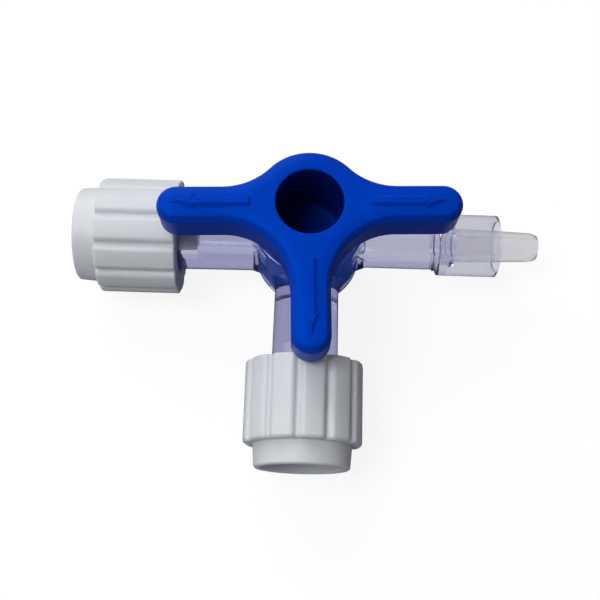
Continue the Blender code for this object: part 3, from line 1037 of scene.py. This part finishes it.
def grip_arcs():
    """The walk round all lobes, as centre, radius, first angle, sweep and steps of each arc."""
    arcs = []
    for lobe in range(lobes):
        middle = (lobe + 0.5) * lobe_step
        edge = middle + lobe_half
        valley = middle + lobe_step / 2
        next_edge = 2 * valley - edge
        turn = edge + lean
        turn_back = 2 * valley - turn
        arcs.append(((0.0, 0.0), cap_radius, middle - lobe_half, 2 * lobe_half, 5))
        arcs.append((around(corner_at, edge), corner_radius, edge, turn - edge, 6))
        arcs.append((around(valley_at, valley), valley_radius, turn + 180, 2 * (valley - turn), 6))
        arcs.append((around(corner_at, next_edge), corner_radius, turn_back, next_edge - turn_back, 6))
    return arcs


cap_start = 17.3
rib_end = 27.9
cap_end = 30.9


def cap_grip():
    """The ribbed sleeve, from its mouth to the end of its ribs."""
    return soft_slab(outline_of(grip_arcs()), cap_start, rib_end, quarter(0.25, 3), quarter(0.5, 6))


print("the grip has", len(grip_arcs()), "arcs and is", round(rib_end - cap_start, 2), "mm long")

# %% [markdown]
# The sleeve gets a smooth end ring with a shallow recess, and it is hollowed from its mouth. In the hollow
# stands the cone that seals the port. It is a little slimmer than the socket that it closes.

# %% Ring, hollow and cone of a cap
ring_radius = 6.2
ring_root_radius = 6.4
ring_root = rib_end - 1.5
ring_edge = 0.35
recess_radius = 5.3
recess_floor = cap_end - 1.6
recess_round = 0.5
recess_lip = 0.2
cap_bore_radius = 4.75
cap_mouth_radius = 5.0
cap_floor = mouth + 0.3
cone_foot = mouth - socket_depth + 0.1
cone_radius = socket_radius - 0.15
cone_edge = 0.2


def cap_ring():
    """The end ring with its recess, sunk a little into the sleeve."""
    return spun(
        [(0.0, recess_floor)]
        + arc(recess_radius - recess_round, recess_floor + recess_round, recess_round, -90, 0, 5)
        + arc(recess_radius + recess_lip, cap_end - recess_lip, recess_lip, 180, 90, 4)
        + arc(ring_radius - ring_edge, cap_end - ring_edge, ring_edge, 90, 0, 6)
        + [(ring_root_radius, rib_end), (ring_root_radius, ring_root), (0.0, ring_root)],
        128,
    )


def cap_hollow():
    """The hollow that goes over the port, a little wider at its mouth."""
    return spun(
        [(0.0, cap_start - 0.5), (cap_mouth_radius, cap_start - 0.5), (cap_mouth_radius, cap_start)]
        + [(cap_bore_radius, cap_start + 0.25), (cap_bore_radius, cap_floor), (0.0, cap_floor)],
        96,
    )


def cap_cone():
    """The sealing cone, which starts inside the cap's floor and ends near the socket's foot."""
    tip_of_cone = cone_radius - TAPER_SLOPE * (cap_floor - cone_foot)
    return spun(
        [(0.0, mouth + 1.0), (cone_radius, mouth + 1.0), (cone_radius, cap_floor)]
        + arc(tip_of_cone - cone_edge, cone_foot + cone_edge, cone_edge, 0, -90, 3)
        + [(0.0, cone_foot)],
        64,
    )


print("a cap is", round(cap_end - cap_start, 1), "mm long, its cone", round(cap_floor - cone_foot, 1), "mm")

# %% [markdown]
# A thread of two starts runs round the wall of the hollow. A thread is a small wedge that is spun and carried
# along at the same time, so spin gets a step along the axis too. Its two open ends are filled last.

# %% Thread
thread_sweep = 288.0
thread_rise = 4.0
thread_slices = 54
thread_wedge = [(4.95, 19.0), (4.95, 20.0), (4.15, 19.65), (4.15, 19.35)]


def cap_thread(start):
    """Most of one turn of a wedge on the hollow's wall, from a starting angle in degrees."""
    bm = bmesh.new()
    face = bm.faces.new([bm.verts.new((radius * MM, 0.0, height * MM)) for radius, height in thread_wedge])
    bmesh.ops.spin(
        bm,
        geom=bm.verts[:] + bm.edges[:] + [face],
        cent=(0.0, 0.0, 0.0),
        axis=UP,
        dvec=UP * (thread_rise / thread_slices) * MM,
        angle=math.radians(thread_sweep),
        steps=thread_slices,
    )
    bmesh.ops.remove_doubles(bm, verts=bm.verts, dist=HAIR)
    bmesh.ops.holes_fill(bm, edges=bm.edges, sides=4)
    bmesh.ops.recalc_face_normals(bm, faces=bm.faces)
    bmesh.ops.transform(bm, matrix=turned_by(start), verts=bm.verts)
    return bm


print("the thread climbs", round(thread_rise * 360.0 / thread_sweep, 2), "mm a turn")

# %% [markdown]
# Both caps have the same shape. Each stands on its port as it happened to be screwed on, so each has its own
# roll, which the photograph gives by the places of the valleys.


# %% Caps
def screw_cap(name, node, direction, turn):
    """One finished cap on its port, rolled about it by some degrees."""
    place = laid_along(direction, turn)
    cap = combine(
        solid(cap_grip(), name, place),
        [
            ("UNION", solid(cap_ring(), "ring", laid_along(direction))),
            ("DIFFERENCE", solid(cap_hollow(), "hollow", laid_along(direction))),
            ("UNION", solid(cap_cone(), "cone", place)),
            ("UNION", solid(cap_thread(0.0), "thread", place)),
            ("UNION", solid(cap_thread(180.0), "second thread", place)),
        ],
    )
    finish_piece(cap, white, node, node, 40.0)


screw_cap("cap_left_finished", "cap_left", left, 1.3)
screw_cap("cap_front_finished", "cap_front", front, 5.8)

# %% [markdown]
# ## The last look
#
# The size of the solid model, once more.

# %% Size of the solid model
print("solid model", [round(side / MM, 2) for side in cad_high - cad_low])
